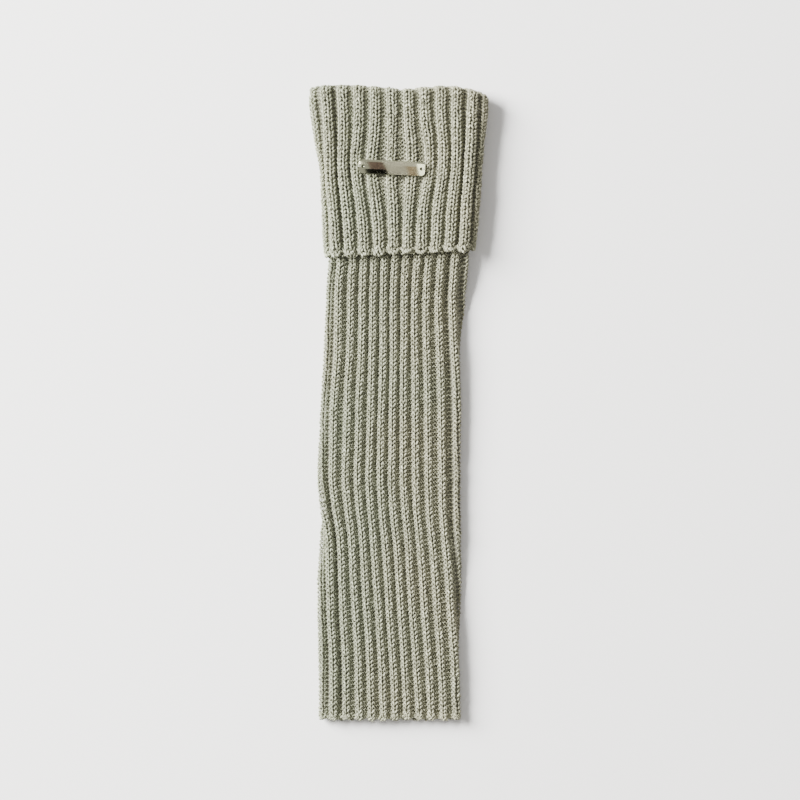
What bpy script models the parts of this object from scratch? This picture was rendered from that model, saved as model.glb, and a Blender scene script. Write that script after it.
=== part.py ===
"""A rib-knit leg warmer laid flat, with its top turned down into a deep cuff and a bare metal plate on the cuff.

Metres, +Z up. X runs across the leg, Y along it towards the turned top, and Z up from the surface it lies on.
The knit is one piece: a tube pressed flat, whose wall runs up from the hem, over the fold and down as the cuff.
Sizes are in millimetres below, as the tables give them, and MM turns them into metres.
"""

from collections import namedtuple
from math import cos, exp, pi, radians, sin

import bmesh
import bpy
from mathutils import Vector

MM = 0.001

# Driving dimensions
RIBS_ROUND = 24  # two knit and two purl wales in each
HEM_Y = -222.6
FOLD_TOP_Y = 222.6
CUFF_EDGE_Y = 104.2
FRONT_WALL = 2.2  # knit wall at the bottom of a valley between two ribs
RIB_HEIGHT = 2.0  # what a rib stands out from there
BACK_WALL = 3.2  # the layer underneath, its ribs and valleys pressed level
HOLLOW = 0.8  # between the front and the back of the flat tube
HOLLOW_INSET = 4.2  # from the leg's outer edge to the end of the hollow
LAYER_GAP = 0.3  # between the cuff and the leg inside it, above and below
SIDE_GAP = 0.9  # the same at either side, where the layers bend
FOLD_RADIUS = 3.4
EDGE_ROUND = 1.2  # how far the hem and the cuff's edge take to round over
PLATE_LENGTH = 46.5
PLATE_WIDTH = 9.8
PLATE_THICKNESS = 1.2
PLATE_CORNER = 3.0
PLATE_EASE = 0.25  # bevel on the plate's edges
PLATE_HOLE_RADIUS = 1.1
PLATE_HOLE_SPACING = 41.2
PLATE_X = -4.8
PLATE_Y = 164.2
PLATE_TURN = -2.8  # degrees about Z
PLATE_PRESS = 1.0  # how far the knit under the plate is pressed down
PRESS_MARGIN = 2.0  # the pressed place is this much larger than the plate all round
PRESS_FADE = 6.0  # and dies away over this distance

# What follows from them
FOLD_Y = FOLD_TOP_Y - FOLD_RADIUS
BODY_THICK = BACK_WALL + HOLLOW + FRONT_WALL
UNDER_CUFF = BACK_WALL + LAYER_GAP
CUFF_INSIDE_TOP = UNDER_CUFF + BODY_THICK + RIB_HEIGHT + LAYER_GAP
CUFF_TOP = CUFF_INSIDE_TOP + FRONT_WALL

# The flat leg at stations along Y: its outer edges, how high its underside is lifted, and how its ribs lie.
# Valley n is at middle + pitch*k + skew*k^2 + spread*k^3 across the front, with k counted from valley 6.
LegRow = namedtuple("LegRow", "y left right lift middle pitch skew spread")
LEG_ROWS = (
    LegRow(HEM_Y + EDGE_ROUND, -56.2, 44.1, 0.0, 1.4, 8.40, 0.00, 0.011),
    LegRow(-200.0, -56.0, 44.1, 0.0, 0.5, 8.25, 0.02, 0.014),
    LegRow(-178.0, -56.3, 44.2, 0.0, -0.8, 8.05, 0.05, 0.019),
    LegRow(-160.0, -56.7, 44.2, 0.0, -2.0, 7.98, 0.056, 0.020),
    LegRow(-144.0, -57.0, 44.0, 0.0, -3.1, 7.95, 0.06, 0.019),
    LegRow(-128.0, -57.0, 43.9, 0.0, -4.1, 7.93, 0.064, 0.018),
    LegRow(-110.0, -56.0, 43.6, 0.0, -5.3, 7.95, 0.07, 0.014),
    LegRow(-91.0, -55.2, 43.4, 0.0, -6.8, 7.96, 0.075, 0.011),
    LegRow(-72.0, -56.1, 43.2, 0.0, -8.5, 8.00, 0.06, 0.019),
    LegRow(-53.0, -57.0, 43.2, 0.0, -9.4, 8.01, 0.043, 0.026),
    LegRow(-28.0, -56.0, 43.8, 0.0, -9.1, 7.80, 0.03, 0.032),
    LegRow(-2.0, -54.8, 44.6, 0.0, -8.7, 7.62, 0.02, 0.035),
    LegRow(35.0, -52.8, 45.5, 0.0, -8.1, 7.26, 0.014, 0.035),
    LegRow(60.0, -51.6, 46.3, 0.0, -7.9, 7.23, 0.007, 0.031),
    LegRow(75.0, -50.8, 46.9, 1.0, -7.8, 7.23, 0.003, 0.029),
    LegRow(88.0, -50.1, 48.0, 2.8, -7.4, 7.30, 0.02, 0.026),
    LegRow(98.0, -49.5, 48.8, UNDER_CUFF, -7.0, 7.35, 0.04, 0.023),
    LegRow(120.0, -48.6, 49.4, UNDER_CUFF, -6.6, 8.10, 0.02, 0.014),
    LegRow(152.0, -49.4, 52.3, UNDER_CUFF, -6.2, 9.30, 0.00, 0.005),
    LegRow(188.0, -53.2, 54.9, UNDER_CUFF, -6.1, 10.60, 0.00, 0.000),
    LegRow(FOLD_Y, -57.2, 56.9, UNDER_CUFF, -6.1, 11.40, 0.00, 0.000),
)

# The cuff at stations along Y: its outer edges and how its ribs lie, which sit over the leg's valleys.
CuffRow = namedtuple("CuffRow", "y left right middle pitch")
CUFF_ROWS = (
    CuffRow(CUFF_EDGE_Y + EDGE_ROUND, -52.0, 53.8, 0.2, 9.80),
    CuffRow(112.0, -52.9, 54.6, 0.1, 9.90),
    CuffRow(122.0, -53.5, 55.8, 0.0, 10.00),
    CuffRow(133.0, -53.9, 56.7, -0.1, 10.15),
    CuffRow(144.0, -54.4, 57.6, -0.2, 10.30),
    CuffRow(156.0, -54.8, 58.2, -0.1, 10.46),
    CuffRow(164.0, -55.4, 58.6, 0.0, 10.55),
    CuffRow(172.0, -56.7, 59.2, 0.1, 10.65),
    CuffRow(182.0, -58.7, 60.2, 0.3, 10.80),
    CuffRow(194.0, -60.7, 61.4, 0.1, 11.00),
    CuffRow(207.0, -62.6, 62.7, -0.2, 11.20),
    CuffRow(FOLD_Y, -62.2, 62.6, -0.4, 11.40),
)
CUFF_INSIDE_STATIONS = (FOLD_Y, 188.0, 152.0, 120.0, CUFF_EDGE_Y + EDGE_ROUND)
CUFF_RIB_SHIFT = 0.5  # the knit is inside out there, so what is a valley on the leg is a rib

# The ribs beside the plate bow out round it: how far, and over what distances across and along.
BOW_REACH = 7.3
BOW_ACROSS = 20.4
BOW_ALONG = 18.1
BOW_X = -1.1
BOW_Y = 166.8

# How far the fold's top edge lies below its highest point, from left to right.
TopRow = namedtuple("TopRow", "x drop")
TOP_ROWS = (
    TopRow(-62.0, 0.8),
    TopRow(-50.0, 0.0),
    TopRow(-28.0, 0.0),
    TopRow(-10.0, 1.2),
    TopRow(4.0, 2.5),
    TopRow(20.0, 1.0),
    TopRow(35.0, 0.2),
    TopRow(45.0, 1.5),
    TopRow(53.0, 3.6),
    TopRow(62.0, 6.0),
)
TOP_FADE = 40.0  # the drop dies away over this length of the cuff
EDGE_SLANT = 0.04  # the cuff's lower edge rises by this much for each unit to the right

# Columns of points round a section, as places in ribs: five to a rib where ribs show, one on the flat back.
FIRST_RIB = -1
LAST_RIB = 13
COLUMNS = [FIRST_RIB + n / 5 for n in range(5 * (LAST_RIB - FIRST_RIB))]
COLUMNS += list(range(LAST_RIB, FIRST_RIB + RIBS_ROUND))
SIDE_RIB_SHARE = 0.9  # how much of a rib's height shows in the outline at either side
RIB_SHOULDER = 0.28  # the part of a rib's pitch over which it rises from the valley
EDGE_TURNS = (0.3, 0.75)  # the rings that round over the hem and the cuff's edge, as shares of the wall
FOLD_TURNS = [turn * pi / 5 for turn in range(1, 5)]


def row_at(rows, key, value):
    """The row at key = value, on a smooth curve through the table's rows."""
    keys = [getattr(row, key) for row in rows]
    value = min(max(value, keys[0]), keys[-1])
    i = next(n for n in range(len(rows) - 1) if value <= keys[n + 1])
    before, after = max(i - 1, 0), min(i + 2, len(rows) - 1)
    step = keys[i + 1] - keys[i]
    t = (value - keys[i]) / step
    fields = []
    for a, b, c, d in zip(rows[before], rows[i], rows[i + 1], rows[after]):
        leaving = (c - a) / (keys[i + 1] - keys[before]) * step
        arriving = (d - b) / (keys[after] - keys[i]) * step
        ease = t * t * (3 - 2 * t)
        fields.append(b + (c - b) * ease + leaving * t * (1 - t) ** 2 - arriving * t * t * (1 - t))
    return type(rows[0])(*fields)


class FlatTube:
    """A section of a tube pressed flat: two level runs joined by half circles, measured by length round it."""

    def __init__(self, left, right, low, high):
        self.radius = (high - low) / 2
        self.centre_x = (left + right) / 2
        self.centre_z = (low + high) / 2
        self.run = (right - left) / 2 - self.radius
        self.half_round = 2 * self.run + pi * self.radius

    def point(self, along):
        """(x, z) and the outward (x, z) at a length round the section, rightwards from the middle of its top."""
        along = (along + self.half_round) % (2 * self.half_round) - self.half_round
        side = 1 if along >= 0 else -1
        past = abs(along) - self.run
        if past <= 0:
            return (self.centre_x + along, self.centre_z + self.radius), (0.0, 1.0)
        turn = min(past / self.radius, pi)
        under = max(past - pi * self.radius, 0)
        out = (side * sin(turn), cos(turn))
        x = self.centre_x + side * (self.run - under) + self.radius * out[0]
        return (x, self.centre_z + self.radius * out[1]), out


def column_lengths(tube, across):
    """Length round the section for each column: where across() puts the ribs, and evenly spread on the back."""
    first = across(FIRST_RIB) - tube.centre_x
    last = across(LAST_RIB) - tube.centre_x
    back = 2 * tube.half_round - (last - first)
    lengths = []
    for rib in COLUMNS:
        length = across(rib) - tube.centre_x
        if rib > LAST_RIB:
            length = last + back * (rib - LAST_RIB) / (FIRST_RIB + RIBS_ROUND - LAST_RIB)
        lengths.append(length)
    return lengths


def rib_height(place):
    """Height of the knit at a place in ribs, from 0 in the valleys at whole numbers to RIB_HEIGHT on the ribs."""
    from_crest = abs(place % 1 - 0.5)
    rise = min((0.5 - from_crest) / RIB_SHOULDER, 1.0)
    return RIB_HEIGHT * rise * (2 - rise)


def showing(out_z):
    """1 on the front and the sides of a section, falling to 0 where it turns under."""
    return min(max((out_z + 0.75) / 0.6, 0.0), 1.0)


def plate_press(x, y):
    """How far the knit is pressed down at a place on the cuff's front."""
    beyond_x = max(abs(x - PLATE_X) - PLATE_LENGTH / 2 - PRESS_MARGIN, 0) / PRESS_FADE
    beyond_y = max(abs(y - PLATE_Y) - PLATE_WIDTH / 2 - PRESS_MARGIN, 0) / PRESS_FADE
    return PLATE_PRESS * exp(-(beyond_x**2) - beyond_y**2)


def leg_y(x, y):
    """Where along Y a point of the leg lies: its top is pulled down with the fold's uneven edge."""
    fade = min(max((y - FOLD_Y + TOP_FADE) / TOP_FADE, 0.0), 1.0)
    return y - row_at(TOP_ROWS, "x", x).drop * fade * fade


def cuff_y(x, y):
    """The same for a point of the cuff, whose lower edge also slants."""
    below_fold = min(max((FOLD_Y - y) / (FOLD_Y - CUFF_EDGE_Y), 0.0), 1.0)
    return leg_y(x, y) + EDGE_SLANT * x * below_fold


def leg_ribs(row):
    """A function that gives the place across the front of any rib or valley of the leg."""

    def across(rib):
        k = rib - 6
        return row.middle + row.pitch * k + row.skew * k * k + row.spread * k**3

    return across


def cuff_ribs(row):
    """The same for the cuff, whose ribs bow out round the plate."""

    def across(rib):
        x = row.middle + row.pitch * (rib - CUFF_RIB_SHIFT - 6)
        d = (x - BOW_X) / BOW_ACROSS
        return x + BOW_REACH * d * exp(-(d**2) / 2 - ((row.y - BOW_Y) / BOW_ALONG) ** 2 / 2)

    return across


def outer_tube(row, low, high):
    """The section's outer face at the bottom of its valleys, so that the ribs reach the row's edges."""
    side = RIB_HEIGHT * SIDE_RIB_SHARE
    return FlatTube(row.left + side, row.right - side, low, high)


def leg_outside(y):
    """Ring of points on the leg's outer face, its ribs raised."""
    row = row_at(LEG_ROWS, "y", y)
    tube = outer_tube(row, row.lift, row.lift + BODY_THICK)
    ring = []
    for rib, along in zip(COLUMNS, column_lengths(tube, leg_ribs(row))):
        (x, z), out = tube.point(along)
        raised = rib_height(rib) * showing(out[1])
        ring.append(Vector((x + out[0] * raised, leg_y(x, y), z + out[1] * raised)))
    return ring


def leg_inside(y):
    """Ring of points on the leg's plain inner face."""
    row = row_at(LEG_ROWS, "y", y)
    outer = outer_tube(row, row.lift, row.lift + BODY_THICK)
    low = row.lift + BACK_WALL
    hollow = FlatTube(row.left + HOLLOW_INSET, row.right - HOLLOW_INSET, low, low + HOLLOW)
    ring = []
    for along in column_lengths(outer, leg_ribs(row)):
        (x, z), _ = hollow.point(along / outer.half_round * hollow.half_round)
        ring.append(Vector((x, leg_y(x, y), z)))
    return ring


def cuff_outside(y):
    """Ring of points on the cuff's outer face, its ribs raised and the place under the plate pressed down."""
    row = row_at(CUFF_ROWS, "y", y)
    tube = outer_tube(row, 0.0, CUFF_TOP)
    ring = []
    for rib, along in zip(COLUMNS, column_lengths(tube, cuff_ribs(row))):
        (x, z), out = tube.point(along)
        raised = rib_height(rib - CUFF_RIB_SHIFT) * showing(out[1]) - plate_press(x, y) * max(out[1], 0)
        x += out[0] * raised
        ring.append(Vector((x, cuff_y(x, y), z + out[1] * raised)))
    return ring


def cuff_inside(y):
    """Ring of points on the cuff's plain inner face, just clear of the leg.

    Its columns follow the leg's at the fold, where the two meet, and the cuff's outer ones at the edge.
    """
    row = row_at(CUFF_ROWS, "y", y)
    leg_row = row_at(LEG_ROWS, "y", y)
    cuff = outer_tube(row, 0.0, CUFF_TOP)
    leg = outer_tube(leg_row, UNDER_CUFF, UNDER_CUFF + BODY_THICK)
    hollow = FlatTube(leg_row.left - SIDE_GAP, leg_row.right + SIDE_GAP, BACK_WALL, CUFF_INSIDE_TOP)
    down = (FOLD_Y - y) / (FOLD_Y - CUFF_EDGE_Y)
    ring = []
    for on_cuff, on_leg in zip(column_lengths(cuff, cuff_ribs(row)), column_lengths(leg, leg_ribs(leg_row))):
        round_share = down * on_cuff / cuff.half_round + (1 - down) * on_leg / leg.half_round
        (x, z), _ = hollow.point(round_share * hollow.half_round)
        ring.append(Vector((x, cuff_y(x, y), z)))
    return ring


def part_way(ring_a, ring_b, share, forward):
    """A ring between two others, moved along Y."""
    return [a.lerp(b, share) + Vector((0, forward, 0)) for a, b in zip(ring_a, ring_b)]


def knit_rings():
    """Every ring of the wall, in order: up the leg's outside, down and up the cuff, over and down to the hem."""
    leg_stations = [row.y for row in LEG_ROWS]
    leg_out = [leg_outside(y) for y in leg_stations]
    cuff_in = [cuff_inside(y) for y in CUFF_INSIDE_STATIONS]
    cuff_out = [cuff_outside(row.y) for row in CUFF_ROWS]
    leg_in = [leg_inside(y) for y in reversed(leg_stations)]
    cuff_edge = [part_way(cuff_in[-1], cuff_out[0], share, -EDGE_ROUND) for share in EDGE_TURNS]
    fold = [
        part_way(cuff_out[-1], leg_in[0], (1 - cos(turn)) / 2, FOLD_RADIUS * sin(turn))
        for turn in FOLD_TURNS
    ]
    hem = [part_way(leg_in[-1], leg_out[0], share, -EDGE_ROUND) for share in EDGE_TURNS]
    return leg_out + cuff_in + cuff_edge + cuff_out + fold + leg_in + hem


def knitted_leg(collection, material):
    """The one knitted piece, each ring joined to the next and the last one to the first."""
    bm = bmesh.new()
    rings = [[bm.verts.new(point * MM) for point in ring] for ring in knit_rings()]
    for here, there in zip(rings, rings[1:] + rings[:1]):
        for n in range(len(here)):
            m = (n + 1) % len(here)
            bm.faces.new((here[n], here[m], there[m], there[n]))
    bmesh.ops.triangulate(bm, faces=bm.faces)
    bmesh.ops.recalc_face_normals(bm, faces=bm.faces)
    mesh = bpy.data.meshes.new("knitted_leg")
    bm.to_mesh(mesh)
    bm.free()
    mesh.shade_smooth()
    mesh.materials.append(material)
    collection.objects.link(bpy.data.objects.new("knitted_leg", mesh))


def circle(centre_x, radius, sides=16):
    return [
        (centre_x + radius * cos(turn), radius * sin(turn))
        for turn in (2 * pi * n / sides for n in range(sides))
    ]


def round_cornered(length, width, corner, steps=6):
    """The outline of a rectangle with round corners, anticlockwise."""
    outline = []
    for quarter, (side_x, side_y) in enumerate(((1, 1), (-1, 1), (-1, -1), (1, -1))):
        for n in range(steps + 1):
            turn = (quarter + n / steps) * pi / 2
            x = side_x * (length / 2 - corner) + corner * cos(turn)
            y = side_y * (width / 2 - corner) + corner * sin(turn)
            outline.append((x, y))
    return outline


def metal_plate(collection, material):
    """The plate: a flat outline with a round hole near each end, thickened, its edges eased."""
    curve = bpy.data.curves.new("metal_plate", "CURVE")
    curve.dimensions = "2D"
    curve.fill_mode = "BOTH"
    curve.extrude = PLATE_THICKNESS / 2 * MM
    outline = round_cornered(PLATE_LENGTH, PLATE_WIDTH, PLATE_CORNER)
    holes = [circle(side * PLATE_HOLE_SPACING / 2, PLATE_HOLE_RADIUS) for side in (-1, 1)]
    for points in (outline, *holes):
        spline = curve.splines.new("POLY")
        spline.points.add(len(points) - 1)
        for point, (x, y) in zip(spline.points, points):
            point.co = (x * MM, y * MM, 0, 1)
        spline.use_cyclic_u = True
    curve.materials.append(material)
    plate = bpy.data.objects.new("metal_plate", curve)
    bottom = CUFF_TOP + RIB_HEIGHT - PLATE_PRESS + LAYER_GAP
    plate.location = Vector((PLATE_X, PLATE_Y, bottom + PLATE_THICKNESS / 2)) * MM
    plate.rotation_euler.z = radians(PLATE_TURN)
    weld = plate.modifiers.new("join_caps", "WELD")
    weld.merge_threshold = 0.00001
    ease = plate.modifiers.new("ease_edges", "BEVEL")
    ease.width = PLATE_EASE * MM
    ease.segments = 1
    ease.limit_method = "ANGLE"
    ease.angle_limit = radians(50)
    collection.objects.link(plate)


def principled(name, colour, roughness, metallic):
    material = bpy.data.materials.new(name)
    material.use_nodes = True
    shader = material.node_tree.nodes["Principled BSDF"]
    shader.inputs["Base Color"].default_value = (*colour, 1)
    shader.inputs["Roughness"].default_value = roughness
    shader.inputs["Metallic"].default_value = metallic
    return material


def main():
    for old in list(bpy.data.objects):
        bpy.data.objects.remove(old, do_unlink=True)
    collection = bpy.data.collections.new("rib_knit_leg_warmer")
    bpy.context.scene.collection.children.link(collection)
    knitted_leg(collection, principled("sage_marl_knit", (0.43, 0.43, 0.33), 0.95, 0.0))
    metal_plate(collection, principled("polished_steel", (0.72, 0.70, 0.66), 0.12, 1.0))


main()
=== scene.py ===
"""Looks of the rib-knit leg warmer: every stitch as yarn, the plate sewn on it, soft light and a plain floor.

Sizes are in millimetres, as in the solid's own tables, which are repeated here. MM turns them into metres.
X runs across the leg, Y along it towards the turned top, and Z up from the floor.
"""

from collections import namedtuple
from math import cos, pi, radians, sin

import bpy
import numpy as np
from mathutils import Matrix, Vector


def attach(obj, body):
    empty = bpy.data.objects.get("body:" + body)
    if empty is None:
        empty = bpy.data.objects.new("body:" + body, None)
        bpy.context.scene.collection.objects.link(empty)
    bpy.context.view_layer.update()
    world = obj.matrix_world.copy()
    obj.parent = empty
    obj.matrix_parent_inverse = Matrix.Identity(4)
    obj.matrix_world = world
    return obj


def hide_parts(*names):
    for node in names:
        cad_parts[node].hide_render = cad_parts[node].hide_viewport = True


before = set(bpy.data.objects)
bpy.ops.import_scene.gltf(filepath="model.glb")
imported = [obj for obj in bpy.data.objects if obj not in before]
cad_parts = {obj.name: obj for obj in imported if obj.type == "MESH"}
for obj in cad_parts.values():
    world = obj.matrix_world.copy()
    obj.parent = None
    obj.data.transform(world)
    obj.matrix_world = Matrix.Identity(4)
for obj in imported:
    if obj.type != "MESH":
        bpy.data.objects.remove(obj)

MM = 0.001
rng = np.random.default_rng(41)
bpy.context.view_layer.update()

# The solid's sizes
RIBS_ROUND = 24
HEM_Y = -222.6
FOLD_TOP_Y = 222.6
CUFF_EDGE_Y = 104.2
FRONT_WALL = 2.2
RIB_HEIGHT = 2.0
BACK_WALL = 3.2
HOLLOW = 0.8
HOLLOW_INSET = 4.2
LAYER_GAP = 0.3
SIDE_GAP = 0.9
FOLD_RADIUS = 3.4
EDGE_ROUND = 1.2
PLATE_LENGTH = 46.5
PLATE_WIDTH = 9.8
PLATE_THICKNESS = 1.2
PLATE_CORNER = 3.0
PLATE_HOLE_RADIUS = 1.1
PLATE_HOLE_SPACING = 41.2
PLATE_X = -4.8
PLATE_Y = 164.2
PLATE_TURN = -2.8
PLATE_PRESS = 1.0
PRESS_MARGIN = 2.0
PRESS_FADE = 6.0
FOLD_Y = FOLD_TOP_Y - FOLD_RADIUS
BODY_THICK = BACK_WALL + HOLLOW + FRONT_WALL
UNDER_CUFF = BACK_WALL + LAYER_GAP
CUFF_INSIDE_TOP = UNDER_CUFF + BODY_THICK + RIB_HEIGHT + LAYER_GAP
CUFF_TOP = CUFF_INSIDE_TOP + FRONT_WALL
PLATE_BOTTOM = CUFF_TOP + RIB_HEIGHT - PLATE_PRESS + LAYER_GAP
FIRST_RIB = -1
MIDDLE_RIB = 6
LAST_RIB = 13
WALES_IN_RIB = 4
CUFF_RIB_SHIFT = 0.5
SIDE_RIB_SHARE = 0.9
RIB_SHOULDER = 0.28

# The flat leg along Y: y, left, right, lift, middle, pitch, skew, spread
LEG_ROWS = np.array(
    (
        (HEM_Y + EDGE_ROUND, -56.2, 44.1, 0.0, 1.4, 8.40, 0.00, 0.011),
        (-200.0, -56.0, 44.1, 0.0, 0.5, 8.25, 0.02, 0.014),
        (-178.0, -56.3, 44.2, 0.0, -0.8, 8.05, 0.05, 0.019),
        (-160.0, -56.7, 44.2, 0.0, -2.0, 7.98, 0.056, 0.020),
        (-144.0, -57.0, 44.0, 0.0, -3.1, 7.95, 0.06, 0.019),
        (-128.0, -57.0, 43.9, 0.0, -4.1, 7.93, 0.064, 0.018),
        (-110.0, -56.0, 43.6, 0.0, -5.3, 7.95, 0.07, 0.014),
        (-91.0, -55.2, 43.4, 0.0, -6.8, 7.96, 0.075, 0.011),
        (-72.0, -56.1, 43.2, 0.0, -8.5, 8.00, 0.06, 0.019),
        (-53.0, -57.0, 43.2, 0.0, -9.4, 8.01, 0.043, 0.026),
        (-28.0, -56.0, 43.8, 0.0, -9.1, 7.80, 0.03, 0.032),
        (-2.0, -54.8, 44.6, 0.0, -8.7, 7.62, 0.02, 0.035),
        (35.0, -52.8, 45.5, 0.0, -8.1, 7.26, 0.014, 0.035),
        (60.0, -51.6, 46.3, 0.0, -7.9, 7.23, 0.007, 0.031),
        (75.0, -50.8, 46.9, 1.0, -7.8, 7.23, 0.003, 0.029),
        (88.0, -50.1, 48.0, 2.8, -7.4, 7.30, 0.02, 0.026),
        (98.0, -49.5, 48.8, UNDER_CUFF, -7.0, 7.35, 0.04, 0.023),
        (120.0, -48.6, 49.4, UNDER_CUFF, -6.6, 8.10, 0.02, 0.014),
        (152.0, -49.4, 52.3, UNDER_CUFF, -6.2, 9.30, 0.00, 0.005),
        (188.0, -53.2, 54.9, UNDER_CUFF, -6.1, 10.60, 0.00, 0.000),
        (FOLD_Y, -57.2, 56.9, UNDER_CUFF, -6.1, 11.40, 0.00, 0.000),
    )
)

# The cuff along Y: y, left, right, middle, pitch
CUFF_ROWS = np.array(
    (
        (CUFF_EDGE_Y + EDGE_ROUND, -52.0, 53.8, 0.2, 9.80),
        (112.0, -52.9, 54.6, 0.1, 9.90),
        (122.0, -53.5, 55.8, 0.0, 10.00),
        (133.0, -53.9, 56.7, -0.1, 10.15),
        (144.0, -54.4, 57.6, -0.2, 10.30),
        (156.0, -54.8, 58.2, -0.1, 10.46),
        (164.0, -55.4, 58.6, 0.0, 10.55),
        (172.0, -56.7, 59.2, 0.1, 10.65),
        (182.0, -58.7, 60.2, 0.3, 10.80),
        (194.0, -60.7, 61.4, 0.1, 11.00),
        (207.0, -62.6, 62.7, -0.2, 11.20),
        (FOLD_Y, -62.2, 62.6, -0.4, 11.40),
    )
)

# How the plate bows the cuff's ribs apart
BOW_REACH = 7.3
BOW_ACROSS = 20.4
BOW_ALONG = 18.1
BOW_X = -1.1
BOW_Y = 166.8

# How far the turned top dips under its highest line: x, drop
TOP_ROWS = np.array(
    (
        (-62.0, 0.8),
        (-50.0, 0.0),
        (-28.0, 0.0),
        (-10.0, 1.2),
        (4.0, 2.5),
        (20.0, 1.0),
        (35.0, 0.2),
        (45.0, 1.5),
        (53.0, 3.6),
        (62.0, 6.0),
    )
)
TOP_FADE = 40.0
EDGE_SLANT = 0.04

# How a rib's four stitches sit over it, from one valley to the next: place in the yarn's own even count,
# place across the rib's width, and height of the yarn's middle over the valley's level
LEG_RIB = np.array(
    (
        (-0.50, -0.505, -0.65),
        (-0.43, -0.455, -1.35),
        (-0.36, -0.400, -1.45),
        (-0.30, -0.340, -0.75),
        (-0.25, -0.293, -0.10),
        (-0.1875, -0.225, 0.55),
        (-0.0625, -0.098, 1.05),
        (0.0, 0.014, 0.95),
        (0.0625, 0.146, 1.0),
        (0.1875, 0.268, 0.62),
        (0.25, 0.328, 0.0),
        (0.34, 0.395, -0.20),
        (0.42, 0.445, -0.35),
        (0.50, 0.495, -0.65),
    )
)
CUFF_RIB = np.array(
    (
        (-0.50, -0.52, -1.5),
        (-0.34, -0.415, -1.45),
        (-0.25, -0.318, -0.85),
        (-0.1875, -0.242, 0.25),
        (-0.0625, -0.114, 0.80),
        (0.0, 0.0, 0.86),
        (0.0625, 0.096, 0.67),
        (0.1875, 0.298, 0.24),
        (0.25, 0.375, -0.35),
        (0.34, 0.435, -1.20),
        (0.50, 0.480, -1.5),
    )
)
LEG_RIB_STRAY = 0.08  # how far the ribs' middles lie beyond the even count
CUFF_RIB_STRAY = 0.085  # the same in the cuff, growing from the fourth rib to the seventh
LEG_RIB_PITCH = 8.0  # pitch at which a rib has the width its table gives; a wider one leaves a wider valley
CUFF_RIB_PITCH = 10.4
NARROWEST = 0.7  # bounds of a rib's own width, as a share of what its table gives
WIDEST = 1.1
RIB_EDGE = 0.33  # where a rib ends and its valley begins, in its own width
SPREAD_VALLEY_RISE = 2.0  # rise of a valley for the share by which its ribs are narrowed
OUTER_VALLEY_DEPTH = 0.9  # how much deeper the outermost valleys are
OUTER_VALLEY_FROM = 1.9  # ribs in from the edge where that begins, and where it is full
OUTER_VALLEY_FULL = 0.9
PRESSED_FURTHER = 1.1  # how far the plate presses the yarn for each millimetre that it presses the solid

# Yarn
LEG_FIRST_COURSE = 111.0  # where the leg's topmost course of yarn lies, just inside the cuff
CUFF_FIRST_COURSE = 2.3
LEG_COURSE = 2.9
CUFF_COURSE = 2.77
LEG_LOOP_REACH = 0.63  # how far a loop reaches along the leg either way, in courses
CUFF_LOOP_REACH = 0.71
LEG_LOOP_LEAN = 0.275  # how far its two sides lean, in stitches
CUFF_LOOP_LEAN = 0.245
LOOP_DEPTH = 0.85  # how far it goes in and out of the fabric
LEG_YARN = 0.68  # radius
CUFF_YARN = 0.87
PURL_THICKNESS = 0.9  # of a knit loop's
KNIT_SHARE = 0.25  # half a rib's knit columns, and how gradually they pass into purl
KNIT_TO_PURL = 0.035
UNDER_CLEARANCE = 0.15  # between the yarn underneath and the solid's own surface
EDGE_SLACK = 1.8  # how much looser the yarn lies at the hem and the cuff's edge, and where that fades away
EDGE_SLACK_FROM = 2.0
EDGE_SLACK_TO = 10.0
# Unevenness: a new value each so many samples, and how far it reaches
PLACE_WANDER = (5, 0.011)
ALONG_WANDER = (8, 0.26)
HEIGHT_WANDER = (6, 0.18)
THICKNESS_WANDER = (7, 0.11)
EDGE_VALLEY_WANDER = (40, 0.3)
EDGE_LOOP_WANDER = (13, 0.42)
EDGE_LINE_WANDER = (40, 0.55)
EDGE_THICKNESS_WANDER = (7, 0.12)
# How ribs sway along their length: length of the wave, and how far it reaches
RIB_SWAYS = ((11.0, 0.014), (23.0, 0.020), (5.5, 0.006))
SWAYING_RIBS = 64
# The strands wound round the hem and the cuff's edge: where, radius of the winding and of the yarn,
# height in front and underneath, and how far they are drawn in between the ribs
HEM_STRAND = {"station": HEM_Y + 1.1, "wind": 0.60, "yarn": 0.72, "front": 0.6, "back": -1.6, "drawn_in": 2.0}
CUFF_STRAND = {"station": 0.7, "wind": 0.66, "yarn": 0.80, "front": 0.7, "back": -1.6, "drawn_in": 2.6}
# Painted shade of the edge strands comes from this height, darker between the ribs
EDGE_HEIGHT = 1.2  # height that gives these strands their shade, less between the ribs
EDGE_VALLEY_SHADE = 1.9
EDGE_VALLEY_DIP = 1.5
# How the ribs flatten at the edges: share of their height kept, how far in it is full, level of what is lost
HEM_FLATTENS = (0.25, 3.0, 0.2)
CUFF_EDGE_FLATTENS = (0.2, 3.5, 0.1)
FOLD_FLATTENS = 0.45  # share of the ribs' height lost over the fold, how far they sink, and how far inside
FOLD_SINKS = 2.0
INSIDE_SINKS = 0.9
KNIT_STEPS = 10  # points to a stitch
PURL_STEPS = 6
EDGE_STEPS = 10
YARN_SIDES = 5
FIBRES = 5000  # loose hairs: how many, radius, shortest and longest, and how they taper, stand off and curl
FIBRE = 0.055
FIBRE_LENGTHS = (1.2, 3.6)
FIBRE_TAPER = 0.6
FIBRE_LIFT = 0.5
FIBRE_CURL = 0.5
FIBRE_POINTS = 4
THREAD = 0.20  # radius
THREAD_POINTS = 30
LOOSE_HEIGHT = 2.6  # height over the valleys that gives hairs and thread their shade
OFF_FLOOR = 0.02  # the lowest that yarn may lie

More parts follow.
